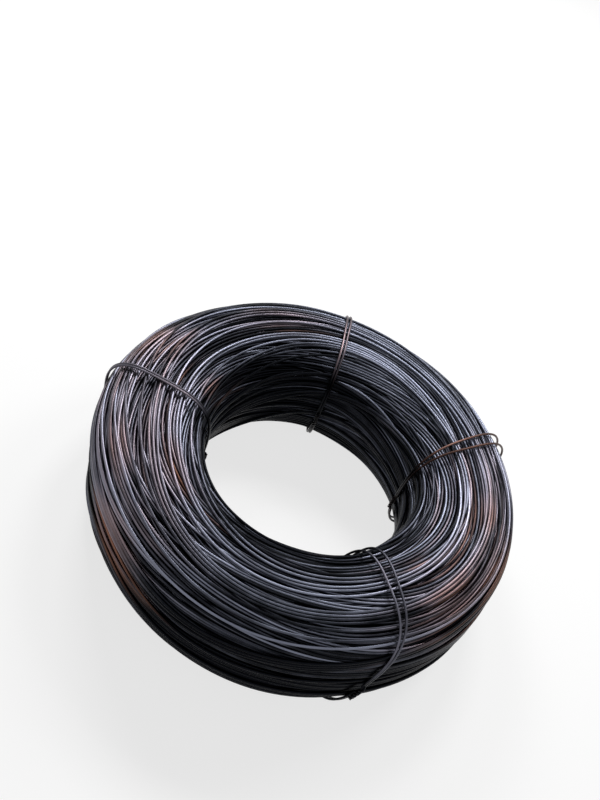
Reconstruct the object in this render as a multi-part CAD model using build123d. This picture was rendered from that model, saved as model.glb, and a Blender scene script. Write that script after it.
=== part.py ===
"""Coil of black annealed steel wire, lying flat on one end.

One wire is wound into a thick round bundle of turns. Four ties, each of thinner wire laid double,
go round the bundle and close with a twist. The origin is on the coil's axis, at the level that
the ties stand on, with +Z up.
"""

from build123d import *

import os
from math import asin, atan, atan2, copysign, cos, degrees, exp, pi, radians, sin, sqrt, tan

# The bundle of turns, in millimetres.
wire_diameter = 3.4
bore_diameter = 250.0
winding_width = 132.5
winding_height = 147.0

# The bundle's section is a superellipse: at 2 it would be an ellipse, and more is squarer.
section_squareness = 3.1
# Each of its four shoulders is turned in this many facets.
shoulder_facets = 4

# The turns that lie level on each end stand out as rings, with a groove between neighbours.
level_turns = 6
groove_depth = 1.5

# A tie's wire, its distance from the turns, and that between its strands where they meet.
tie_wire_diameter = 2.8
tie_clearance = 0.5
strand_gap_at_twist = 0.2
# Degrees of the section over which a tie's slack dies away on either side.
slack_spread = 22.0

# The twist that closes a tie: two wires thick, laid down along the strands.
twist_length = 24.0

# Each tie's azimuth round the coil, the distance between its strands opposite the twist, the
# angle of the section that the twist sits at, and how far the tie stands off at which angle.
# Angles of the section count from the outside of the coil by way of its top. A tie that was
# pulled round askew has its outer side, by its skew, or its top, by its tilt, at a higher azimuth.
ties = {
    "tie_right": dict(azimuth=33, spacing=15.0, twist_at=195, slack=7.0, slack_at=25, skew=16),
    "tie_back": dict(azimuth=99, spacing=4.6, twist_at=195),
    "tie_left": dict(azimuth=184.8, spacing=3.2, twist_at=195, slack=5.0, slack_at=40, skew=-8),
    "tie_front": dict(azimuth=306, spacing=13.0, twist_at=345, tilt=20),
}

half_width = winding_width / 2
half_height = winding_height / 2
middle_radius = bore_diameter / 2 + half_width
# The coil lies on its ties, so its lowest turns are this far up.
coil_base = tie_wire_diameter + tie_clearance

# The superellipse's angle at which the level turns end and the first shoulder facet starts.
level_half_width = (level_turns - 1) * wire_diameter / 2
flat_half_angle = degrees(atan((level_half_width / half_width) ** (section_squareness / 2)))

# The angles of the superellipse at which the section has its corners.
corner_angles = [
    quarter * 90 + flat_half_angle + (90 - 2 * flat_half_angle) * facet / shoulder_facets
    for quarter in range(4)
    for facet in range(shoulder_facets + 1)
]


def section_point(angle):
    """Point of the bundle's section at this angle of the superellipse."""
    level = cos(radians(flat_half_angle))
    across = cos(radians(angle))
    up = sin(radians(angle))
    power = 2 / section_squareness
    return Vector(
        half_width * copysign((abs(across) / level) ** power, across),
        half_height * copysign((abs(up) / level) ** power, up),
    )


def section_corners(slack=0.0, slack_at=0.0):
    """Corners round the bundle's section, with a stretch that stands off where a tie is slack."""
    corners = []
    for angle in corner_angles:
        corner = section_point(angle)
        stand_off = slack * exp(-(((angle - slack_at) / slack_spread) ** 2))
        corners.append(corner + corner.normalized() * stand_off)
    return corners


def facet_ends(angle):
    """The two corners of the facet at this angle, which may be on the outer wall or past a full turn."""
    before = [corner for corner in corner_angles if corner <= angle % 360] or corner_angles
    after = [corner for corner in corner_angles if corner > angle % 360] or corner_angles
    return section_point(before[-1]), section_point(after[0])


def grooved_section():
    """Section of the bundle with a groove between each two turns that lie level on its ends."""
    section = make_face(Polyline(*section_corners(), close=True))
    for index in range(level_turns - 1):
        across = (index + 0.5) * wire_diameter - level_half_width
        groove = make_face(
            Polyline(
                (across - wire_diameter / 2, half_height),
                (across + wire_diameter / 2, half_height),
                (across, half_height - groove_depth),
                close=True,
            )
        )
        section -= groove
        section -= mirror(groove, Plane.XZ)
    return section


def section_place(azimuth):
    """Place of the bundle's section at an azimuth: X points away from the axis and Y up."""
    return Rot(Z=azimuth) * Pos(middle_radius, 0, coil_base + half_height) * Rot(X=90)


def wound_coil():
    """The whole bundle of turns, as one turned solid with its bore."""
    return revolve(section_place(0) * grooved_section(), Axis.Z)


def askew_place(sideways, skew, tilt):
    """Place of a plane that crosses the section's plane askew, this far sideways at its middle."""
    return Pos(0, 0, -sideways) * Rot(X=-tilt) * Rot(Y=skew)


def askew_point(corner, sideways, skew, tilt):
    """Point of the askew plane that lies on the bundle where its section has this corner."""
    skew = radians(skew)
    tilt = radians(tilt)
    sideways += corner.X * tan(skew) / cos(tilt) + corner.Y * tan(tilt)
    across = sqrt((middle_radius + corner.X) ** 2 - sideways**2) - middle_radius
    return Vector(across / cos(skew), (corner.Y + across * tan(skew) * sin(tilt)) / cos(tilt))


def strand_loop(corners):
    """One strand of a tie, closed round these corners, as an eight-sided wire."""
    inside = offset(make_face(Polyline(*corners, close=True)), tie_clearance, kind=Kind.INTERSECTION)
    outside = offset(inside, tie_wire_diameter, kind=Kind.INTERSECTION)
    loop = extrude(outside - inside, tie_wire_diameter / 2, both=True)
    corner = tie_wire_diameter / 2 * (1 - sin(pi / 8) / cos(pi / 8))
    return chamfer(loop.faces().filter_by(Axis.Z).edges(), corner)


def twist_bar(start, end):
    """The closing twist, laid on the strands along the facet from start to end."""
    along = end - start
    middle = Pos(start + along / 2) * Rot(Z=degrees(atan2(along.Y, along.X)) - 90)
    bar = extrude(RegularPolygon(tie_wire_diameter, 6), twist_length / 2, both=True)
    return middle * Pos(tie_clearance + tie_wire_diameter, 0) * Rot(X=90) * bar


def tie(azimuth, spacing, twist_at, slack=0.0, slack_at=0.0, skew=0.0, tilt=0.0):
    """A doubled wire round the bundle: its strands lean together and meet at the twist."""
    ends = facet_ends(twist_at)
    hinge = (ends[0].X + ends[1].X) / 2
    meeting = tie_wire_diameter + strand_gap_at_twist
    lean = degrees(asin((spacing - meeting) / 2 / (winding_width + tie_wire_diameter)))
    wires = twist_bar(*(askew_point(end, 0, skew, tilt) for end in ends))
    wires = askew_place(0, skew, tilt) * wires
    for side in (-1, 1):
        own_skew = skew + side * copysign(lean, -hinge)
        turned_off = hinge * (tan(radians(own_skew)) - tan(radians(skew))) / cos(radians(tilt))
        own_plane = (side * meeting / 2 - turned_off, own_skew, tilt)
        corners = [askew_point(corner, *own_plane) for corner in section_corners(slack, slack_at)]
        wires += askew_place(*own_plane) * strand_loop(corners)
    return section_place(azimuth) * wires


os.makedirs("parts", exist_ok=True)
export_step(wound_coil(), "parts/wire_coil.step")
for name, layout in ties.items():
    export_step(tie(**layout), f"parts/{name}.step")
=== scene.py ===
"""Coil of black annealed steel wire: its turns, its ties, their finish and the stage."""

from math import cos, hypot, pi, radians, sin, tan, tau

import bpy
import numpy as np
from bpy.props import FloatProperty, FloatVectorProperty, IntProperty, PointerProperty
from mathutils import Matrix, Vector


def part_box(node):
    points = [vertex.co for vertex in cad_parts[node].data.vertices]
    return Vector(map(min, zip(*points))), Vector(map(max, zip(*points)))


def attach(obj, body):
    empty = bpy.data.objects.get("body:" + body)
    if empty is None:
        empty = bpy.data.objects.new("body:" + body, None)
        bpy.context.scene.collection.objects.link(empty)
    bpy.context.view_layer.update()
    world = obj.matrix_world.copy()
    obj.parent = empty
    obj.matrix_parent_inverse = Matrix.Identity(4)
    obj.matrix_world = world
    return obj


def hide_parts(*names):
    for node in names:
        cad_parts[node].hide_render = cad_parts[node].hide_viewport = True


bl_info = {
    "name": "Annealed Wire Coil",
    "version": (1, 0, 0),
    "blender": (4, 5, 0),
    "location": "3D View > Sidebar > Wire Coil",
    "description": "Winds a tied coil of black annealed steel wire round an open bore",
    "category": "Add Mesh",
}

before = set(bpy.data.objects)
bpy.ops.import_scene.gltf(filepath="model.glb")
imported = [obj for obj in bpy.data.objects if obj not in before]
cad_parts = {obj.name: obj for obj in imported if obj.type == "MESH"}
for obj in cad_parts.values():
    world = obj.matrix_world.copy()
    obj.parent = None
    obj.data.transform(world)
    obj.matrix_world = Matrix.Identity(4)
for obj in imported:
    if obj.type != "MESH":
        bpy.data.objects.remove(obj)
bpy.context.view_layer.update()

# The coil's section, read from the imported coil: a superellipse turned about the Z axis.
COIL_LOW, COIL_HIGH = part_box("wire_coil")
OUTER_RADIUS = COIL_HIGH.x
BORE_RADIUS = min(hypot(v.co.x, v.co.y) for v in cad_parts["wire_coil"].data.vertices)
HALF_WIDTH = (OUTER_RADIUS - BORE_RADIUS) / 2
HALF_HEIGHT = (COIL_HIGH.z - COIL_LOW.z) / 2
MIDDLE_RADIUS = (OUTER_RADIUS + BORE_RADIUS) / 2
MIDDLE_HEIGHT = (COIL_HIGH.z + COIL_LOW.z) / 2
SQUARENESS = 3.1


class WireCoilTurns(bpy.types.PropertyGroup):
    """Sizes of the wound turns."""

    wire_diameter: FloatProperty(
        name="Wire diameter",
        description="Thickness of the wound wire",
        default=0.0034,
        precision=4,
        unit="LENGTH",
    )
    stations: IntProperty(
        name="Stations",
        description="Places round the coil at which the turns are settled",
        default=180,
    )
    rounds: IntProperty(
        name="Settling rounds",
        description="Times that the turns are pressed inwards and pushed apart",
        default=150,
    )
    smoothing: IntProperty(
        name="Smoothing",
        description="Times that each turn is evened out along its length at the end",
        default=18,
    )
    seed: IntProperty(
        name="Seed",
        description="Start of the random drift of the turns",
        default=7,
    )


class WireCoilTies(bpy.types.PropertyGroup):
    """Sizes of the ties."""

    wire_diameter: FloatProperty(
        name="Tie wire diameter",
        description="Thickness of the wire that the ties are made of",
        default=0.0028,
        precision=4,
        unit="LENGTH",
    )
    clearance: FloatProperty(
        name="Clearance",
        description="Distance between a tight tie and the bundle of turns",
        default=0.0004,
        precision=4,
        unit="LENGTH",
    )
    twist_length: FloatProperty(
        name="Twist length",
        description="Length over which a tie's ends are twisted together",
        default=0.024,
        precision=4,
        unit="LENGTH",
    )


class WireCoilFinish(bpy.types.PropertyGroup):
    """Colours of the coil's finishes."""

    # The dark scale also serves as painted shade and the pale scale as painted light, mixed by each
    # point's tone.
    steel_dark: FloatVectorProperty(
        name="Dark scale",
        description="Colour of the darkest annealing scale on the wire",
        default=(0.0045, 0.005, 0.0065),
        size=3,
        subtype="COLOR",
    )
    steel_pale: FloatVectorProperty(
        name="Pale scale",
        description="Colour of the thin, bluish annealing scale on the wire",
        default=(0.165, 0.178, 0.23),
        size=3,
        subtype="COLOR",
    )
    steel_warm: FloatVectorProperty(
        name="Warm scale",
        description="Colour of the pale scale where the wire has begun to rust",
        default=(0.225, 0.195, 0.23),
        size=3,
        subtype="COLOR",
    )
    rust: FloatVectorProperty(
        name="Rust",
        description="Colour of the light rust on the wire",
        default=(0.22, 0.105, 0.07),
        size=3,
        subtype="COLOR",
    )


def once_round(count):
    """Evenly spaced angles, once round a circle."""
    return tau * np.arange(count) / count


def degrees_from(middle, angle):
    """Angles in degrees, counted from the middle one by the shorter way."""
    return (angle - middle + 180) % 360 - 180


def section_angle(places):
    """Angle of each place round the section, in degrees from its outside by way of its top."""
    return np.degrees(np.arctan2(places[..., 1], places[..., 0]))


# How many steps the section's edge is measured in, and a trifle that keeps the section's middle
# from being divided by zero.
RIM_STEPS = 3600
TINY = 1e-9


def rim_table():
    """Runs along the section's edge and the points there, closed on its start."""
    angle = np.linspace(0, tau, RIM_STEPS + 1)
    power = 2 / SQUARENESS
    across = HALF_WIDTH * np.sign(np.cos(angle)) * np.abs(np.cos(angle)) ** power
    up = HALF_HEIGHT * np.sign(np.sin(angle)) * np.abs(np.sin(angle)) ** power
    steps = np.hypot(np.diff(across), np.diff(up))
    return np.concatenate([[0], np.cumsum(steps)]), across, up


RIM_RUN, RIM_ACROSS, RIM_UP = rim_table()
RIM_LENGTH = RIM_RUN[-1]


def depth_and_normal(places):
    """Depth under the section's edge, and the outward direction, at each place."""
    across = np.abs(places[..., 0]) / HALF_WIDTH + TINY
    up = np.abs(places[..., 1]) / HALF_HEIGHT + TINY
    reach = (across**SQUARENESS + up**SQUARENESS) ** (1 / SQUARENESS)
    slope = np.stack(
        [
            np.sign(places[..., 0]) * (across / reach) ** (SQUARENESS - 1) / HALF_WIDTH,
            np.sign(places[..., 1]) * (up / reach) ** (SQUARENESS - 1) / HALF_HEIGHT,
        ],
        axis=-1,
    )
    steepness = np.linalg.norm(slope, axis=-1, keepdims=True)
    return (1 - reach) / steepness[..., 0], slope / steepness


def wound_places(run, depth):
    """Places in the section at these runs along its edge and depths under it."""
    run = run % RIM_LENGTH
    on_edge = np.stack(
        [np.interp(run, RIM_RUN, RIM_ACROSS), np.interp(run, RIM_RUN, RIM_UP)], axis=-1
    )
    _, outward = depth_and_normal(on_edge)
    return on_edge - outward * depth[..., None]


# The most waves that a drift has round the coil, and round the section's edge.
MOST_LOBES = 4
MOST_WAVES = 3
# How much weaker a layer's sway gets with each wave that it has round the coil.
LOBE_WEAKENING = 0.4


def layer_drift(rng, run, azimuth, twist, sway):
    """Slow sideways drift of a whole layer, the same again after once round either way."""
    drift = np.zeros(np.broadcast(run, azimuth).shape)
    for lobes in range(1, MOST_LOBES + 1):
        drift += twist / lobes * rng.normal() * np.sin(lobes * azimuth + rng.uniform(0, tau))
    for waves in range(1, MOST_WAVES + 1):
        for lobes in range(MOST_LOBES + 1):
            size = sway / waves / (1 + LOBE_WEAKENING * lobes) * rng.normal()
            phase = rng.uniform(0, tau)
            turning = rng.choice([-1, 1])
            drift += size * np.sin(tau * waves * run / RIM_LENGTH + turning * lobes * azimuth + phase)
    return drift


def bundle_wander(rng, bundles, share, size):
    """Each bundle's own wander. The turn that leads to the next bundle passes from one to the other."""
    azimuth = tau * share
    wander = np.zeros((len(bundles), len(share)))
    for lobes in range(1, MOST_LOBES + 1):
        for wave in (np.sin, np.cos):
            own = rng.normal(size=bundles.max() + 1)[bundles] * size / lobes
            following = np.roll(own, -1)
            wander += (own[:, None] + share * (following - own)[:, None]) * wave(lobes * azimuth)
    return wander


# In diameters of the wire: the room left where a layer closes, and the gaps inside a bundle.
CLOSING_ROOM = 3
BUNDLE_GAPS = (0.02, 0.25)
# The least gap after a bundle and its mean excess, as shares of what the layer's filling leaves.
LEAST_GAP = 0.3
GAP_EXCESS = 1.0


def bundle_runs(rng, diameter, filling, sizes):
    """Runs along the section's edge of one layer's turns, and the bundle that each belongs to."""
    gaps = []
    bundles = []
    while sum(gaps) + len(gaps) * diameter < RIM_LENGTH - CLOSING_ROOM * diameter:
        size = rng.choice(sizes)
        bundles += [bundles[-1] + 1 if bundles else 0] * size
        gaps += list(rng.uniform(*BUNDLE_GAPS, size - 1) * diameter)
        gaps.append((LEAST_GAP + rng.exponential(GAP_EXCESS)) * (1 / filling - 1) * size * diameter)
    gaps = np.array(gaps)
    wide = np.diff(bundles + [bundles[-1] + 1]) > 0
    room = RIM_LENGTH - len(gaps) * diameter
    gaps[wide] *= (room - gaps[~wide].sum()) / gaps[wide].sum()
    return np.concatenate([[0], np.cumsum(gaps + diameter)]), np.array(bundles)


# The layers of turns that show, from the outside in: the share of the edge that is filled, how far
# the layer drifts round the coil (twist) and over its section (sway), how far its bundles wander on
# their own, in metres, and how many turns a bundle may have.
LAYERS = (
    dict(filling=0.42, twist=0.019, sway=0.010, wander=0.007, sizes=(1, 1, 2, 3, 4, 5, 6)),
    dict(filling=0.55, twist=0.015, sway=0.009, wander=0.006, sizes=(2, 3, 4, 5, 6, 8)),
    dict(filling=0.72, twist=0.012, sway=0.008, wander=0.004, sizes=(3, 4, 6, 8)),
    dict(filling=0.88, twist=0.006, sway=0.006, wander=0.002, sizes=(5, 8)),
)
# How many sides the wire has in each layer.
LAYER_SIDES = (8, 7, 5, 5)
# In diameters of the wire: the first layer's depth, the step to the next, and a bundle's own wander.
FIRST_DEPTH = 0.6
LAYER_STEP = 0.9
DEPTH_WANDER = 0.25


def first_places(rng, settings):
    """Unsettled places of every turn at every station, and each layer's first turn."""
    share = np.arange(settings.stations) / settings.stations
    diameter = settings.wire_diameter
    places = []
    firsts = [0]
    for index, layer in enumerate(LAYERS):
        runs, bundles = bundle_runs(rng, diameter, layer["filling"], layer["sizes"])
        run = runs[:-1, None] + share * np.diff(runs)[:, None]
        azimuth = tau * share[None, :]
        drift = layer_drift(rng, run, azimuth, layer["twist"], layer["sway"])
        drift += bundle_wander(rng, bundles, share, layer["wander"])
        depth = (FIRST_DEPTH + LAYER_STEP * index) * diameter
        depth = depth + bundle_wander(rng, bundles, share, DEPTH_WANDER * diameter)
        places.append(wound_places(run + drift, depth))
        firsts.append(firsts[-1] + len(bundles))
    return np.concatenate(places), firsts


def near_pairs(places, reach):
    """Pairs of turns that lie near each other at a station, as places in the flattened array."""
    turns, stations, _ = places.shape
    upper = np.triu(np.ones((turns, turns), bool), 1)
    firsts = []
    seconds = []
    for station in range(stations):
        across = places[:, station, 0].astype(np.float32)
        up = places[:, station, 1].astype(np.float32)
        apart = (across[:, None] - across) ** 2 + (up[:, None] - up) ** 2
        first, second = np.nonzero((apart < reach * reach) & upper)
        firsts.append(first * stations + station)
        seconds.append(second * stations + station)
    return np.concatenate(firsts), np.concatenate(seconds)


# The share of a cut by which each of its two turns gives way in one go, and the least distance
# between them that is reckoned with, in metres.
GIVING_WAY = 0.45
LEAST_APART = 1e-6


def push_apart(places, pairs, diameter):
    """Moves each two turns that cut into each other away from each other."""
    flat = places.reshape(-1, 2)
    first, second = pairs
    between = flat[second] - flat[first]
    apart = np.maximum(np.linalg.norm(between, axis=1), LEAST_APART)
    cut = np.maximum(diameter - apart, 0) * GIVING_WAY
    shift = between * (cut / apart)[:, None]
    for axis in range(2):
        flat[:, axis] += np.bincount(second, shift[:, axis], len(flat))
        flat[:, axis] -= np.bincount(first, shift[:, axis], len(flat))


def straighten(places, firsts, share):
    """Evens out each layer's wire along its length, from turn to turn."""
    for start, end in zip(firsts[:-1], firsts[1:]):
        wire = places[start:end].reshape(-1, 2)
        middle = (np.roll(wire, 1, axis=0) + np.roll(wire, -1, axis=0)) / 2
        wire += share * (middle - wire)


# The most lumps round the section and round the coil, and how gently lumps weaken with their number.
MOST_ACROSS = 9
MOST_AROUND = 5
LUMP_EASING = 2


def lumpiness(rng, places, azimuth):
    """Uneven swelling of the bundle over its section and round the coil, between about -1 and 1."""
    angle = np.arctan2(places[..., 1], places[..., 0])
    lumps = np.zeros(places.shape[:2])
    for across in range(1, MOST_ACROSS + 1):
        for turning in (-1, 1):
            lobes = rng.integers(1, MOST_AROUND + 1)
            size = rng.normal() / (LUMP_EASING + across)
            lumps += size * np.sin(across * angle + turning * lobes * azimuth + rng.uniform(0, tau))
    return lumps


# How far from a tie the turns lie loose, in degrees round the coil.
LOOSE_AWAY = 12


def looseness(places, azimuth):
    """How loose the turns lie: 0 under a tie, and 1 away from all ties."""
    loose = 1.0
    for layout in TIES.values():
        skewed = places[..., 0] * tan(radians(layout["skew"]))
        tilted = places[..., 1] * tan(radians(layout["tilt"]))
        tie = radians(layout["azimuth"]) + (skewed + tilted) / (MIDDLE_RADIUS + places[..., 0])
        apart = np.abs((azimuth - tie + pi) % tau - pi)
        loose = np.minimum(loose, 1 - np.exp(-((apart / radians(LOOSE_AWAY)) ** 2)))
    return loose


# Where the bundle stands out or lies in, as places round the coil and its section and how far each
# spreads and is tall, in degrees, and how far the turns rise there, in metres.
SWELLINGS = (
    dict(azimuth=170, section=36, spread=22, tall=32, rise=0.0068),
    dict(azimuth=225, section=2, spread=20, tall=40, rise=-0.0105),
    dict(azimuth=256, section=345, spread=14, tall=24, rise=0.0035),
    dict(azimuth=277, section=132, spread=5, tall=14, rise=0.0035),
)


def patches_at(patches, strength, places, azimuth):
    """How strongly each patch is felt at these places of the section and azimuths."""
    felt = []
    for patch in patches:
        round_coil = degrees_from(patch["azimuth"], np.degrees(azimuth))
        round_section = degrees_from(patch["section"], section_angle(places))
        away = (round_coil / patch["spread"]) ** 2 + (round_section / patch["tall"]) ** 2
        felt.append(patch[strength] * np.exp(-away))
    return felt


# How far loose turns swell, evenly and with the lumps, in metres.
EVEN_SWELLING = 0.001
LUMPY_SWELLING = 0.0022
# In diameters of the wire: the room under the layers, how near two turns are looked at together,
# and how far a round presses the turns inwards.
ROOM_BELOW = 0.3
NEAR_TURNS = 1.9
PRESSING = 0.004
# How many rounds a list of near turns lasts.
ROUNDS_PER_LIST = 10
# How often a round evens out the turns, how much it does so in one go, and how much of that is
# lost by the last round.
EVENINGS_A_ROUND = 2
EVENING = 0.5
EVENING_LOSS = 0.8


def settle_turns(rng, places, firsts, settings):
    """Presses the turns together, as winding and tying did, and keeps them from cutting in."""
    diameter = settings.wire_diameter
    floor = (len(LAYERS) + ROOM_BELOW) * diameter
    azimuth = once_round(settings.stations)
    lumps = lumpiness(rng, places, azimuth)
    swelling = (EVEN_SWELLING + LUMPY_SWELLING * lumps) * looseness(places, azimuth)
    rise = sum(patches_at(SWELLINGS, "rise", places, azimuth))
    _, outward = depth_and_normal(places)
    places += outward * rise[..., None]
    for step in range(settings.rounds):
        if step % ROUNDS_PER_LIST == 0:
            pairs = near_pairs(places, NEAR_TURNS * diameter)
        late = step / settings.rounds
        _, outward = depth_and_normal(places)
        places -= outward * PRESSING * diameter * (1 - late)
        for _ in range(EVENINGS_A_ROUND):
            straighten(places, firsts, EVENING * (1 - EVENING_LOSS * late))
        push_apart(places, pairs, diameter)
        depth, outward = depth_and_normal(places)
        kept = np.clip(depth, diameter / 2 - swelling - rise, floor - diameter / 2 - rise)
        places += outward * (depth - kept)[..., None]
    for _ in range(settings.smoothing):
        straighten(places, firsts, EVENING)
    return places


def directions(line):
    """Direction of a line at each of its points."""
    along = np.gradient(line, axis=0)
    return along / np.linalg.norm(along, axis=1, keepdims=True)


def rings_round(line, along, first_side, radius, sides):
    """Rings of points round a line, which start on the first side and go round its direction."""
    other = np.cross(along, first_side)
    angle = once_round(sides)[:, None]
    ring = first_side[:, None] * np.cos(angle) + other[:, None] * np.sin(angle)
    return line[:, None] + radius * ring


def turn_rings(line, radius, sides):
    """Rings of points round a turn's open line, which start on the side away from the axis."""
    along = directions(line)
    away = line * [1, 1, 0]
    away -= along * np.sum(away * along, axis=1, keepdims=True)
    away /= np.linalg.norm(away, axis=1, keepdims=True)
    return rings_round(line, along, away, radius, sides)


def tube_faces(rings, sides):
    """Quads between neighbouring rings of one tube."""
    ring = np.arange(rings - 1)[:, None] * sides
    side = np.arange(sides)[None, :]
    after = (side + 1) % sides
    quads = np.stack([ring + side, ring + after, ring + sides + after, ring + sides + side], -1)
    return quads.reshape(-1, 4)


def mesh_piece(name, points, faces, attributes=()):
    """A smooth mesh object from arrays, with named values on its points."""
    mesh = bpy.data.meshes.new(name)
    mesh.from_pydata(points, [], faces)
    mesh.update()
    for label, values in attributes:
        mesh.attributes.new(label, "FLOAT", "POINT").data.foreach_set("value", values)
    mesh.shade_smooth()
    mesh.validate()
    piece = bpy.data.objects.new(name, mesh)
    bpy.context.scene.collection.objects.link(piece)
    return piece


def turned(places):
    """Places in the section at evenly spaced stations, moved out round the axis."""
    azimuth = once_round(places.shape[1])
    radius = MIDDLE_RADIUS + places[..., 0]
    height = MIDDLE_HEIGHT + places[..., 1]
    return np.stack([radius * np.cos(azimuth), radius * np.sin(azimuth), height], -1)


def add_node(tree, kind, **values):
    """A shader node, with its properties or inputs set by name."""
    node = tree.nodes.new(kind)
    for name, value in values.items():
        label = name.replace("_", " ")
        if label in node.inputs:
            node.inputs[label].default_value = value
        else:
            setattr(node, name, value)
    return node


def math_node(tree, operation, first, second):
    """A Math node on two values, each a socket or a number."""
    node = add_node(tree, "ShaderNodeMath", operation=operation)
    for socket, value in zip(node.inputs, (first, second)):
        if isinstance(value, (int, float)):
            socket.default_value = value
        else:
            tree.links.new(value, socket)
    return node.outputs["Value"]


def ramp_node(tree, value, low, high):
    """A value brought from between low and high to between 0 and 1, smoothly."""
    node = add_node(tree, "ShaderNodeMapRange", interpolation_type="SMOOTHSTEP")
    tree.links.new(value, node.inputs["Value"])
    node.inputs["From Min"].default_value = low
    node.inputs["From Max"].default_value = high
    return node.outputs["Result"]


def noise_about_zero(tree, noise, size):
    """A noise node's value, brought to lie about 0 and to this size."""
    return math_node(tree, "MULTIPLY", math_node(tree, "ADD", noise.outputs["Fac"], -0.5), size)


def mix_node(tree, share, first, second):
    """A mix of two colours by a value."""
    node = add_node(tree, "ShaderNodeMix", data_type="RGBA")
    tree.links.new(share, node.inputs["Factor"])
    for socket, value in ((node.inputs["A"], first), (node.inputs["B"], second)):
        tree.links.new(value, socket)
    return node.outputs["Result"]


def new_group(name, inputs, outputs):
    """An empty shader node group with these inputs and outputs, and its two end nodes."""
    group = bpy.data.node_groups.new(name, "ShaderNodeTree")
    for label, kind in inputs:
        group.interface.new_socket(label, in_out="INPUT", socket_type=kind)
    for label, kind in outputs:
        group.interface.new_socket(label, in_out="OUTPUT", socket_type=kind)
    return group, group.nodes.new("NodeGroupInput"), group.nodes.new("NodeGroupOutput")


# Detail of the scale: grain and clouds as waves a metre, and broken patches a metre along the wire.
GRAIN_SCALE = 420
CLOUD_SCALE = 38
PATCHES_A_METRE = 9
# How much each of them changes the tone.
CLOUD_TONE = 0.35
BROKEN_TONE = 0.6
GRAIN_TONE = 0.05
# How rusty a place is where the pale scale is all warm, and where rust begins and covers the scale.
ALL_WARM = 0.35
RUST_BEGINS = 0.12
RUST_COVERS = 1.2
# How much of the grain the rust's edge follows.
GRAIN_IN_RUST = 1.2
# Roughness of the scale, and what the broken patches and the rust add to it.
SCALE_ROUGHNESS = 0.33
BROKEN_ROUGHNESS = -0.15
RUST_ROUGHNESS = 0.25


def annealed_scale_group():
    """Scale left by annealing: broken patches along the wire, and rust where it is asked for."""
    group, given, made = new_group(
        "annealed_scale",
        (
            ("Tone", "NodeSocketFloat"),
            ("Rust", "NodeSocketFloat"),
            ("Run", "NodeSocketFloat"),
            ("Dark", "NodeSocketColor"),
            ("Pale", "NodeSocketColor"),
            ("Warm", "NodeSocketColor"),
            ("Rust Color", "NodeSocketColor"),
        ),
        (("Color", "NodeSocketColor"), ("Roughness", "NodeSocketFloat"), ("Height", "NodeSocketFloat")),
    )
    place = add_node(group, "ShaderNodeTexCoord").outputs["Object"]
    grain = add_node(group, "ShaderNodeTexNoise", Scale=GRAIN_SCALE, Detail=2)
    group.links.new(place, grain.inputs["Vector"])
    cloud = add_node(group, "ShaderNodeTexNoise", Scale=CLOUD_SCALE, Detail=3, Roughness=0.6)
    group.links.new(place, cloud.inputs["Vector"])
    streak = add_node(group, "ShaderNodeTexNoise", noise_dimensions="1D", Scale=1, Detail=1, Roughness=0.5)
    along_wire = math_node(group, "MULTIPLY", given.outputs["Run"], PATCHES_A_METRE)
    group.links.new(along_wire, streak.inputs["W"])
    clouded = noise_about_zero(group, cloud, CLOUD_TONE)
    broken = noise_about_zero(group, streak, BROKEN_TONE)
    mottle = noise_about_zero(group, grain, GRAIN_TONE)
    tone = math_node(group, "ADD", given.outputs["Tone"], math_node(group, "ADD", clouded, broken))
    # The Tone input holds painted light and shade, so this mix paints the tops pale and the bore and the
    # low outside dark.
    shade = ramp_node(group, math_node(group, "ADD", tone, mottle), 0.0, 1.0)
    warmth = ramp_node(group, given.outputs["Rust"], 0.0, ALL_WARM)
    pale = mix_node(group, warmth, given.outputs["Pale"], given.outputs["Warm"])
    scale = mix_node(group, shade, given.outputs["Dark"], pale)
    spots = math_node(group, "ADD", broken, math_node(group, "MULTIPLY", mottle, GRAIN_IN_RUST))
    rust = math_node(group, "ADD", given.outputs["Rust"], spots)
    rusty = ramp_node(group, rust, RUST_BEGINS, RUST_COVERS)
    group.links.new(mix_node(group, rusty, scale, given.outputs["Rust Color"]), made.inputs["Color"])
    dull = math_node(group, "MULTIPLY", broken, BROKEN_ROUGHNESS)
    dull = math_node(group, "ADD", SCALE_ROUGHNESS, dull)
    dull = math_node(group, "ADD", dull, math_node(group, "MULTIPLY", rusty, RUST_ROUGHNESS))
    group.links.new(dull, made.inputs["Roughness"])
    group.links.new(grain.outputs["Fac"], made.inputs["Height"])
    return group


# What the core and the floor share: a dull finish with little shine.
DULL_ROUGHNESS = 0.9
DULL_SPECULAR = 0.1

# How strong the grain's bump is, and how deep, in metres.
BUMP_STRENGTH = 0.03
BUMP_DEPTH = 0.0001


def steel_material(name):
    """Black annealed steel, read from each point's tone with its painted light and shade, rust and run
    along the wire.
    """
    group = bpy.data.node_groups.get("annealed_scale") or annealed_scale_group()
    finish = bpy.context.scene.wire_coil_finish
    material = bpy.data.materials.new(name)
    material.use_nodes = True
    tree = material.node_tree
    shader = tree.nodes["Principled BSDF"]
    scale = add_node(tree, "ShaderNodeGroup", node_tree=group)
    for label in ("Tone", "Rust", "Run"):
        value = add_node(tree, "ShaderNodeAttribute", attribute_name=label.lower())
        tree.links.new(value.outputs["Fac"], scale.inputs[label])
    scale.inputs["Dark"].default_value = (*finish.steel_dark, 1)
    scale.inputs["Pale"].default_value = (*finish.steel_pale, 1)
    scale.inputs["Warm"].default_value = (*finish.steel_warm, 1)
    scale.inputs["Rust Color"].default_value = (*finish.rust, 1)
    tree.links.new(scale.outputs["Color"], shader.inputs["Base Color"])
    tree.links.new(scale.outputs["Roughness"], shader.inputs["Roughness"])
    bump = add_node(tree, "ShaderNodeBump", Strength=BUMP_STRENGTH, Distance=BUMP_DEPTH)
    tree.links.new(scale.outputs["Height"], bump.inputs["Height"])
    tree.links.new(bump.outputs["Normal"], shader.inputs["Normal"])
    shader.inputs["Metallic"].default_value = 1
    return material


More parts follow.
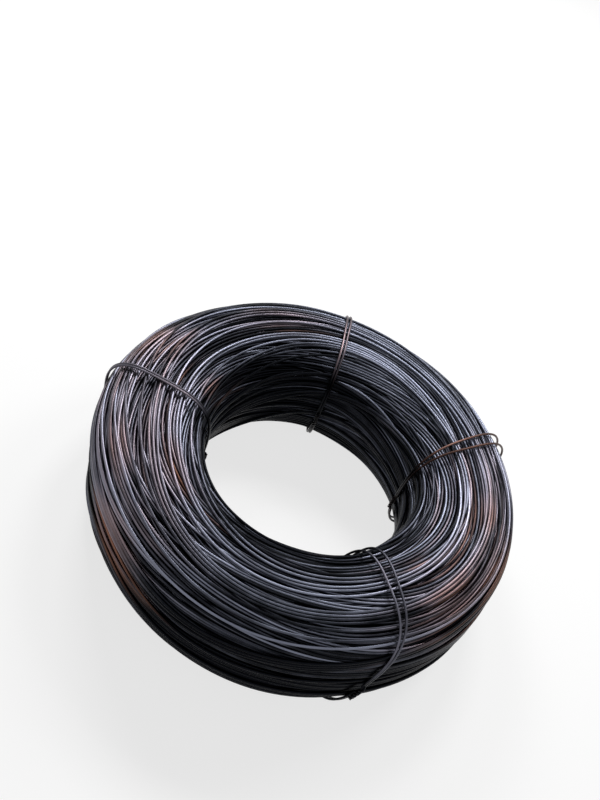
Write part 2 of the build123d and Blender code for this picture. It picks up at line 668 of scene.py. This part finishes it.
# Light rust, as places round the coil and its section and how far each spreads and is tall, in
# degrees, and how strong it is.
RUST_PATCHES = (
    # The first patch is light rust, also made strong as painted light on the outside at the left.
    dict(azimuth=230, section=4, spread=14, tall=32, strength=1.05),
    dict(azimuth=242, section=354, spread=10, tall=14, strength=0.5),
    dict(azimuth=212, section=56, spread=16, tall=20, strength=0.45),
    dict(azimuth=222, section=104, spread=18, tall=16, strength=0.55),
    dict(azimuth=170, section=60, spread=16, tall=40, strength=0.36),
    dict(azimuth=172, section=130, spread=10, tall=16, strength=0.48),
    dict(azimuth=125, section=84, spread=25, tall=20, strength=0.3),
    dict(azimuth=352, section=28, spread=20, tall=30, strength=0.9),
    dict(azimuth=332, section=45, spread=18, tall=40, strength=0.52),
    dict(azimuth=328, section=102, spread=8, tall=10, strength=0.5),
    dict(azimuth=5, section=75, spread=12, tall=16, strength=0.45),
)
# Where the wire has begun to rust all over: the middles and half the width of two sides of the
# coil, and of the part of the section, in degrees, and how strongly.
WARM_SIDES = (205, 352)
WARM_SPREAD = 48
WARM_SECTION = 62
WARM_TALL = 75
WARM_STRENGTH = 0.24

# Where the scale is painted paler as light, in the same way, and darker as painted shade where the value
# is below 0.
PAINTED_LIGHT_PATCHES = (
    dict(azimuth=226, section=4, spread=22, tall=36, painted_light=0.46),
    dict(azimuth=340, section=34, spread=20, tall=30, painted_light=-0.2),
    dict(azimuth=4, section=56, spread=18, tall=34, painted_light=-0.18),
)
# The same over all of the section: the front and the back left painted darker as shade, the left and the
# back right painted paler as light.
PAINTED_LIGHT_SIDES = (
    dict(azimuth=278, spread=48, painted_light=-0.21),
    dict(azimuth=145, spread=45, painted_light=-0.23),
    dict(azimuth=215, spread=35, painted_light=0.06),
    dict(azimuth=60, spread=35, painted_light=0.06),
)
# The tone of the turns where they are painted in shade, how much paler the top is painted as light from
# above, and the top's middle and half its width, in degrees of the section.
SHADED_TONE = 0.05
TOP_PAINTED_LIGHT = 0.45
TOP_SECTION = 72
TOP_TALL = 58


def level_share(away, half_width):
    """A share that is 1 over about half_width either way, and falls off steeply past that."""
    return np.exp(-((away / half_width) ** 4))


def tone_with_painted_light(places, azimuth):
    """How pale the annealing scale is, with painted light and shade: the top is painted paler as light
    from above, the bore and the low outside darker as shade, and some sides and patches paler or darker.
    """
    tone = SHADED_TONE + TOP_PAINTED_LIGHT * level_share(section_angle(places) % 360 - TOP_SECTION, TOP_TALL)
    for side in PAINTED_LIGHT_SIDES:
        away = degrees_from(side["azimuth"], np.degrees(azimuth))
        tone += side["painted_light"] * level_share(away, side["spread"])
    return tone + sum(patches_at(PAINTED_LIGHT_PATCHES, "painted_light", places, azimuth))


def rust_amount(places, azimuth):
    """How rusty the coil is at these places of its section and azimuths."""
    warm = np.zeros(places.shape[:-1])
    for side in WARM_SIDES:
        away = degrees_from(side, np.degrees(azimuth))
        warm = np.maximum(warm, WARM_STRENGTH * level_share(away, WARM_SPREAD))
    warm = warm * level_share(section_angle(places) - WARM_SECTION, WARM_TALL)
    return np.maximum.reduce([warm, *patches_at(RUST_PATCHES, "strength", places, azimuth)])


# The turns are joined into pieces by where they lie round the section, in degrees from its outside.
TURN_PIECES = {
    "turns_outside_low": (300, 345),
    "turns_outside_high": (345, 405),
    "turns_top_outside": (45, 85),
    "turns_top_inside": (85, 130),
    "turns_bore": (130, 215),
    "turns_underside": (215, 300),
}


def piece_of_turn(places):
    """Name of the joined piece that a turn belongs to."""
    angle = section_angle(places.mean(axis=0)) % 360
    for name, (start, end) in TURN_PIECES.items():
        if start <= angle < end or start <= angle + 360 < end:
            return name
    raise ValueError(f"no piece for a turn at {angle:.1f} degrees")


def joined_tubes(name, tubes, radius, material):
    """One smooth piece of open tubes along lines. Each tube is (line, sides, point values)."""
    points = []
    faces = []
    values = {"tone": [], "rust": [], "run": []}
    count = 0
    for line, sides, given in tubes:
        rings = turn_rings(line, radius, sides)
        points.append(rings.reshape(-1, 3))
        faces.append(tube_faces(len(line), sides) + count)
        count += len(line) * sides
        for label, numbers in given.items():
            values[label].append(np.repeat(numbers, sides))
    attributes = [(label, np.concatenate(parts).astype(np.float32)) for label, parts in values.items()]
    piece = mesh_piece(name, np.concatenate(points), np.concatenate(faces), attributes)
    piece.data.materials.append(material)
    return piece


# How much the tone differs from turn to turn, and the least and the most that a turn's rust is
# multiplied by.
TONE_SPREAD = 0.25
RUSTINESS = (0.2, 1.3)


def passing_on(values, index, share):
    """A turn's own value, which passes into the next turn's along the turn."""
    return values[index] + share * (values[index + 1] - values[index])


def turn_tubes(rng, places, firsts):
    """The turns of each piece, as tubes: a line, how many sides it has, and the values along it."""
    stations = places.shape[1]
    points = turned(places)
    azimuth = once_round(stations)
    rust = rust_amount(places, azimuth)
    # The tone holds painted light on the top and painted shade in the bore and on the low outside.
    tone = tone_with_painted_light(places, azimuth)
    share = np.linspace(0, 1, stations + 1)
    tubes = {name: [] for name in TURN_PIECES}
    for sides, start, end in zip(LAYER_SIDES, firsts[:-1], firsts[1:]):
        count = end - start
        wire = points[start:end].reshape(-1, 3)
        wire = np.concatenate([wire, wire[:1]])
        run = np.concatenate([[0], np.cumsum(np.linalg.norm(np.diff(wire, axis=0), axis=1))])
        tones = rng.normal(0, TONE_SPREAD, count + 1)
        rustiness = rng.uniform(*RUSTINESS, count + 1)
        for index in range(count):
            turn = start + index
            following = start + (index + 1) % count
            stretch = slice(index * stations, (index + 1) * stations + 1)
            own_tone = np.append(tone[turn], tone[following, 0])
            own_rust = np.append(rust[turn], rust[following, 0])
            given = {
                "tone": own_tone + passing_on(tones, index, share),
                "rust": own_rust * passing_on(rustiness, index, share),
                "run": run[stretch],
            }
            tubes[piece_of_turn(places[turn])].append((wire[stretch], sides, given))
    return tubes


class WIRECOIL_OT_wind_turns(bpy.types.Operator):
    """Wind the coil's turns and settle them against each other"""

    bl_idname = "wire_coil.wind_turns"
    bl_label = "Wind Turns"

    def execute(self, context):
        settings = context.scene.wire_coil_turns
        rng = np.random.default_rng(settings.seed)
        places, firsts = first_places(rng, settings)
        places = settle_turns(rng, places, firsts, settings)
        steel = steel_material("annealed_steel")
        for name, tubes in turn_tubes(rng, places, firsts).items():
            piece = joined_tubes(name, tubes, settings.wire_diameter / 2, steel)
            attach(piece, "root")
            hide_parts("wire_coil")
        return {"FINISHED"}


# How many points the core has round the coil and round its section, and how far it lies under the
# layers, in diameters of the wire.
CORE_AROUND = 144
CORE_STEPS = 64
CORE_BELOW = 0.1
# The core's painted shadow, standing in for the deeper turns in shade: waves a metre, the noise at which
# it is darkest and palest, and those colours.
SHADOW_SCALE = 90
SHADOW_NOISE = (0.3, 0.7)
SHADOW_DARK = (0.003, 0.003, 0.0035, 1)
SHADOW_PALE = (0.010, 0.0095, 0.0105, 1)


def shadow_material(name):
    """Dull black painted shadow in faint clouds."""
    material = bpy.data.materials.new(name)
    material.use_nodes = True
    tree = material.node_tree
    shader = tree.nodes["Principled BSDF"]
    place = add_node(tree, "ShaderNodeTexCoord").outputs["Object"]
    cloud = add_node(tree, "ShaderNodeTexNoise", Scale=SHADOW_SCALE, Detail=3)
    tree.links.new(place, cloud.inputs["Vector"])
    painted_shadow = add_node(tree, "ShaderNodeMix", data_type="RGBA")
    tree.links.new(ramp_node(tree, cloud.outputs["Fac"], *SHADOW_NOISE), painted_shadow.inputs["Factor"])
    painted_shadow.inputs["A"].default_value = SHADOW_DARK
    painted_shadow.inputs["B"].default_value = SHADOW_PALE
    tree.links.new(painted_shadow.outputs["Result"], shader.inputs["Base Color"])
    shader.inputs["Roughness"].default_value = DULL_ROUGHNESS
    shader.inputs["Specular IOR Level"].default_value = DULL_SPECULAR
    return material


class WIRECOIL_OT_make_core(bpy.types.Operator):
    """Make the inside of the coil under the turns that show, dark with painted shadow"""

    bl_idname = "wire_coil.make_core"
    bl_label = "Make Core"

    def execute(self, context):
        diameter = context.scene.wire_coil_turns.wire_diameter
        run = np.arange(CORE_STEPS) / CORE_STEPS * RIM_LENGTH
        places = wound_places(run, np.full(CORE_STEPS, (len(LAYERS) + CORE_BELOW) * diameter))
        points = turned(np.repeat(places[:, None], CORE_AROUND, axis=1))
        index = np.arange(CORE_STEPS * CORE_AROUND).reshape(CORE_STEPS, CORE_AROUND)
        after = np.roll(index, -1, axis=1)
        quads = np.stack([index, after, np.roll(after, -1, axis=0), np.roll(index, -1, axis=0)], -1)
        core = mesh_piece("coil_core", points.reshape(-1, 3), quads.reshape(-1, 4))
        core.data.materials.append(shadow_material("core_shadow"))
        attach(core, "root")
        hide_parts("wire_coil")
        return {"FINISHED"}


# The ties, as the part's source lays them: azimuth, distance between the strands opposite the
# twist, angle of the section at the twist, how far the tie stands off and where, how far it was
# pulled askew, and how rusty it is. Lengths are in metres and angles in degrees.
TIES = {
    "tie_right": dict(
        azimuth=33, spacing=0.0150, twist_at=195, slack=0.0070, slack_at=25, skew=16, tilt=0, rust=0.5
    ),
    "tie_back": dict(
        azimuth=99, spacing=0.0046, twist_at=195, slack=0, slack_at=0, skew=0, tilt=0, rust=0.34
    ),
    "tie_left": dict(
        azimuth=184.8, spacing=0.0032, twist_at=195, slack=0.0050, slack_at=40, skew=-8, tilt=0, rust=0.2
    ),
    "tie_front": dict(
        azimuth=306, spacing=0.0130, twist_at=345, slack=0, slack_at=0, skew=0, tilt=20, rust=0.14
    ),
}
# The one tie that is brown all over.
RUSTY_TIE = "tie_right"
# How far a slack stretch spreads either way, in degrees of the section.
SLACK_SPREAD = 22
# The distance between two points along a strand and how far its end lies past the twist's middle,
# in metres, and the least distance between the two strands, in diameters of their wire.
STRAND_STEP = 0.0016
STRAND_PAST = 0.001
LEAST_GAP_OF_STRANDS = 1.05
# How soon the two strands part on their way over the section, and come free to wobble.
PARTING = 2.2
FREEING = 4
# How far a strand wobbles, in metres, and how often round the section.
WOBBLE = 0.0006
WOBBLE_WAVES = (2, 3, 5, 8)
# Full turns of the twist, and the share of its half in which it loosens.
TWIST_TURNS = 3
TWIST_LOOSENS = 0.25
# How many sides a tie's wire has, and a direction that no strand starts in.
TIE_SIDES = 10
ASKEW = (0.3, 0.2, 0.9)
# The tone of a tie at the bottom, in painted shade, how much paler its top is painted as light from above,
# and the same of the rusty tie.
TIE_SHADED_TONE = -0.15
TIE_TOP_PAINTED_LIGHT = 0.6
RUSTY_TOP_PAINTED_LIGHT = 0.28
# The share of a tie's rust that its bottom has, and the middle and half the width of its top, in
# degrees of the section.
LOW_RUST = 0.35
TIE_TOP_SECTION = 75
TIE_TOP_TALL = 70


def tie_strand(rng, settings, layout, side):
    """Line of one strand: it starts in the twist, goes round the bundle and ends under the twist."""
    radius = settings.wire_diameter / 2
    half_twist = settings.twist_length / 2
    angle = section_angle(np.stack([RIM_ACROSS, RIM_UP], axis=-1)) % 360
    twist_run = np.interp(layout["twist_at"], angle[:-1], RIM_RUN[:-1])
    run = np.arange(-half_twist, RIM_LENGTH + STRAND_PAST, STRAND_STEP)
    edge = wound_places(twist_run + run, np.zeros(len(run)))
    _, outward = depth_and_normal(edge)
    from_slack = degrees_from(layout["slack_at"], section_angle(edge))
    slack = layout["slack"] * np.exp(-((from_slack / SLACK_SPREAD) ** 2))
    stand_off = settings.clearance + radius + slack
    middle_of_twist = np.searchsorted(run, 0)
    inward = -outward[middle_of_twist]
    share = np.clip(((edge - edge[middle_of_twist]) @ inward) / (2 * HALF_WIDTH), 0, 1)
    gap = settings.wire_diameter * LEAST_GAP_OF_STRANDS
    apart = np.tanh(PARTING * share) / np.tanh(PARTING)
    lateral = side * (gap + (layout["spacing"] - gap) * apart) / 2
    wobble = sum(
        rng.normal() * WOBBLE / waves * np.sin(tau * waves * run / RIM_LENGTH + rng.uniform(0, tau))
        for waves in WOBBLE_WAVES
    )
    lateral = lateral + wobble * np.minimum(share * FREEING, 1)
    in_twist = np.clip((half_twist - run) / (TWIST_LOOSENS * half_twist), 0, 1)
    in_twist = in_twist * in_twist * (3 - 2 * in_twist)
    turning = tau * TWIST_TURNS * run / settings.twist_length + (0 if side > 0 else pi)
    stand_off = stand_off + in_twist * (settings.wire_diameter + radius * np.cos(turning))
    lateral = lateral * (1 - in_twist) + in_twist * radius * np.sin(turning)
    place = edge + outward * stand_off[:, None]
    skew = radians(layout["skew"])
    tilt = radians(layout["tilt"])
    lateral = lateral + place[:, 0] * tan(skew) / cos(tilt) + place[:, 1] * tan(tilt)
    azimuth = radians(layout["azimuth"])
    away = np.array([cos(azimuth), sin(azimuth), 0])
    along = np.array([-sin(azimuth), cos(azimuth), 0])
    outwards = np.sqrt((MIDDLE_RADIUS + place[:, 0]) ** 2 - lateral**2)
    flat = outwards[:, None] * away + lateral[:, None] * along
    return flat + (MIDDLE_HEIGHT + place[:, 1])[:, None] * [0, 0, 1]


def tie_tube(line, radius):
    """Points and faces of a round wire along a line, with its two cut ends closed."""
    along = directions(line)
    side = np.cross(along[0], ASKEW)
    first_sides = []
    for direction in along:
        side = side - direction * (side @ direction)
        side = side / np.linalg.norm(side)
        first_sides.append(side)
    points = rings_round(line, along, np.array(first_sides), radius, TIE_SIDES).reshape(-1, 3)
    faces = tube_faces(len(line), TIE_SIDES).tolist()
    faces.append(list(range(TIE_SIDES))[::-1])
    faces.append(list(range(len(points) - TIE_SIDES, len(points))))
    return points, faces


def tie_mesh(rng, settings, layout):
    """Points and faces of both strands of a tie."""
    points = np.empty((0, 3))
    faces = []
    for side in (-1, 1):
        line = tie_strand(rng, settings, layout, side)
        own_points, own_faces = tie_tube(line, settings.wire_diameter / 2)
        faces += [[index + len(points) for index in face] for face in own_faces]
        points = np.concatenate([points, own_points])
    return points, faces


def tie_values(points, rust, top_painted_light):
    """Tone, rust and run of a tie at each of its points: its top is painted paler as light from above, and
    is rustier.
    """
    across = np.hypot(points[:, 0], points[:, 1]) - MIDDLE_RADIUS
    section = section_angle(np.stack([across, points[:, 2] - MIDDLE_HEIGHT], axis=-1)) % 360
    top = level_share(section - TIE_TOP_SECTION, TIE_TOP_TALL)
    run = np.repeat(np.arange(len(points) // TIE_SIDES) * STRAND_STEP, TIE_SIDES)
    return [
        ("tone", TIE_SHADED_TONE + top_painted_light * top),
        ("rust", rust * (LOW_RUST + (1 - LOW_RUST) * top)),
        ("run", run),
    ]


class WIRECOIL_OT_bend_ties(bpy.types.Operator):
    """Bend the doubled wires that tie the coil, and twist their ends together"""

    bl_idname = "wire_coil.bend_ties"
    bl_label = "Bend Ties"

    def execute(self, context):
        settings = context.scene.wire_coil_ties
        rng = np.random.default_rng(context.scene.wire_coil_turns.seed)
        grey = steel_material("tie_steel")
        brown = steel_material("tie_steel_rusty")
        for name, layout in TIES.items():
            rusty = name == RUSTY_TIE
            points, faces = tie_mesh(rng, settings, layout)
            values = tie_values(points, layout["rust"], RUSTY_TOP_PAINTED_LIGHT if rusty else TIE_TOP_PAINTED_LIGHT)
            piece = mesh_piece(name + "_wire", points, faces, values)
            piece.data.materials.append(brown if rusty else grey)
            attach(piece, "root")
            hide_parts(name)
        return {"FINISHED"}


# The camera, found from the coil's outline in the photograph.
CAMERA_ELEVATION = radians(49.7)
CAMERA_ROLL = radians(-25.6)
CAMERA_DISTANCE = 1.205
CAMERA_LENS = 45.0
SENSOR_WIDTH = 36.0
PICTURE_HEIGHT = 800
# Where the coil's middle falls in the picture, to the right of and above its middle, in pixels.
COIL_RIGHT = 2.2
COIL_UP = -82.0


def camera_pose():
    """World matrix of the camera: it looks past the coil's middle, rolled about its view."""
    middle = Vector((0, 0, MIDDLE_HEIGHT))
    back = Vector((0, -cos(CAMERA_ELEVATION), sin(CAMERA_ELEVATION)))
    right = Vector((1, 0, 0))
    up = back.cross(right)
    rolled_right = right * cos(CAMERA_ROLL) - up * sin(CAMERA_ROLL)
    rolled_up = right * sin(CAMERA_ROLL) + up * cos(CAMERA_ROLL)
    facing = Matrix((rolled_right, rolled_up, back)).transposed()
    pixels = CAMERA_LENS / SENSOR_WIDTH * PICTURE_HEIGHT
    aim = Vector((COIL_RIGHT, COIL_UP, -pixels)).normalized()
    turn = Vector((0, 0, -1)).rotation_difference(aim).to_matrix()
    pose = (facing @ turn.transposed()).to_4x4()
    pose.translation = middle + back * CAMERA_DISTANCE
    return pose


# The soft lamps behind the coil: place and size in metres, and power in watts.
LAMPS = {
    "left_light": dict(place=(-0.95, 1.4, 1.45), size=0.6, power=19),
    "right_light": dict(place=(0.95, 1.4, 1.45), size=0.6, power=13),
    "back_light": dict(place=(0, 1.3, 1.6), size=0.5, power=15),
}
# How strongly the world lights the object, and the floor's size, its colour and its own white as
# the view and the wire's shine see it.
WORLD_LIGHT = 0.15
FLOOR_SIZE = 8
FLOOR_SHADE = 0.3
FLOOR_GLOW = 0.74
WHITE = (1, 1, 1, 1)


def background_rays(tree):
    """1 for the rays that see the background, straight or by way of metal or glass, and else 0."""
    rays = add_node(tree, "ShaderNodeLightPath")
    glossy = math_node(tree, "MAXIMUM", rays.outputs["Is Camera Ray"], rays.outputs["Is Glossy Ray"])
    return math_node(tree, "MAXIMUM", glossy, rays.outputs["Is Transmission Ray"])


def add_camera(scene):
    """The camera that looks at the coil as the photograph does."""
    camera = bpy.data.objects.new("camera", bpy.data.cameras.new("camera"))
    camera.data.lens = CAMERA_LENS
    camera.data.sensor_width = SENSOR_WIDTH
    camera.matrix_world = camera_pose()
    scene.collection.objects.link(camera)
    scene.camera = camera


def add_lamp(scene, name, place, size, power):
    """A square lamp that faces the coil's middle."""
    lamp = bpy.data.lights.new(name, "AREA")
    lamp.size = size
    lamp.energy = power
    holder = bpy.data.objects.new(name, lamp)
    holder.location = place
    toward = Vector((0, 0, MIDDLE_HEIGHT)) - Vector(place)
    holder.rotation_euler = toward.to_track_quat("-Z", "Y").to_euler()
    scene.collection.objects.link(holder)


def add_world(scene):
    """A world that is white to look at, and lights the object softly."""
    world = bpy.data.worlds.new("studio")
    world.use_nodes = True
    tree = world.node_tree
    background = tree.nodes["Background"]
    background.inputs["Color"].default_value = WHITE
    strength = math_node(tree, "MULTIPLY", background_rays(tree), 1 - WORLD_LIGHT)
    tree.links.new(math_node(tree, "ADD", strength, WORLD_LIGHT), background.inputs["Strength"])
    scene.world = world


def floor_material():
    """Pale floor paint, which glows only where it is looked at."""
    paint = bpy.data.materials.new("floor_paint")
    paint.use_nodes = True
    tree = paint.node_tree
    shader = tree.nodes["Principled BSDF"]
    shader.inputs["Base Color"].default_value = (FLOOR_SHADE, FLOOR_SHADE, FLOOR_SHADE, 1)
    shader.inputs["Roughness"].default_value = DULL_ROUGHNESS
    shader.inputs["Specular IOR Level"].default_value = DULL_SPECULAR
    shader.inputs["Emission Color"].default_value = WHITE
    glow = math_node(tree, "MULTIPLY", background_rays(tree), FLOOR_GLOW)
    tree.links.new(glow, shader.inputs["Emission Strength"])
    return paint


class WIRECOIL_OT_set_stage(bpy.types.Operator):
    """Set the floor, the lights and the camera"""

    bl_idname = "wire_coil.set_stage"
    bl_label = "Set Stage"

    def execute(self, context):
        scene = context.scene
        scene.view_settings.view_transform = "Standard"
        add_camera(scene)
        for name, lamp in LAMPS.items():
            add_lamp(scene, name, **lamp)
        add_world(scene)
        bpy.ops.mesh.primitive_plane_add(size=FLOOR_SIZE)
        floor = context.object
        floor.name = "floor"
        floor.data.materials.append(floor_material())
        return {"FINISHED"}


class WIRECOIL_PT_panel(bpy.types.Panel):
    """Lists the steps that make the coil"""

    bl_label = "Wire Coil"
    bl_idname = "WIRECOIL_PT_panel"
    bl_space_type = "VIEW_3D"
    bl_region_type = "UI"
    bl_category = "Wire Coil"

    def draw(self, context):
        for operator in OPERATORS:
            self.layout.operator(operator.bl_idname)


OPERATORS = (
    WIRECOIL_OT_set_stage,
    WIRECOIL_OT_make_core,
    WIRECOIL_OT_wind_turns,
    WIRECOIL_OT_bend_ties,
)
CLASSES = (WireCoilTurns, WireCoilTies, WireCoilFinish, *OPERATORS, WIRECOIL_PT_panel)


def register():
    """Registers the classes and keeps their settings on the scene."""
    for item in CLASSES:
        bpy.utils.register_class(item)
    bpy.types.Scene.wire_coil_turns = PointerProperty(type=WireCoilTurns)
    bpy.types.Scene.wire_coil_ties = PointerProperty(type=WireCoilTies)
    bpy.types.Scene.wire_coil_finish = PointerProperty(type=WireCoilFinish)


def unregister():
    """Takes back what register did."""
    del bpy.types.Scene.wire_coil_finish
    del bpy.types.Scene.wire_coil_ties
    del bpy.types.Scene.wire_coil_turns
    for item in reversed(CLASSES):
        bpy.utils.unregister_class(item)


def main():
    """Makes the stage and the coil."""
    register()
    bpy.ops.wire_coil.set_stage()
    bpy.ops.wire_coil.make_core()
    bpy.ops.wire_coil.wind_turns()
    bpy.ops.wire_coil.bend_ties()


if __name__ == "__main__":
    main()
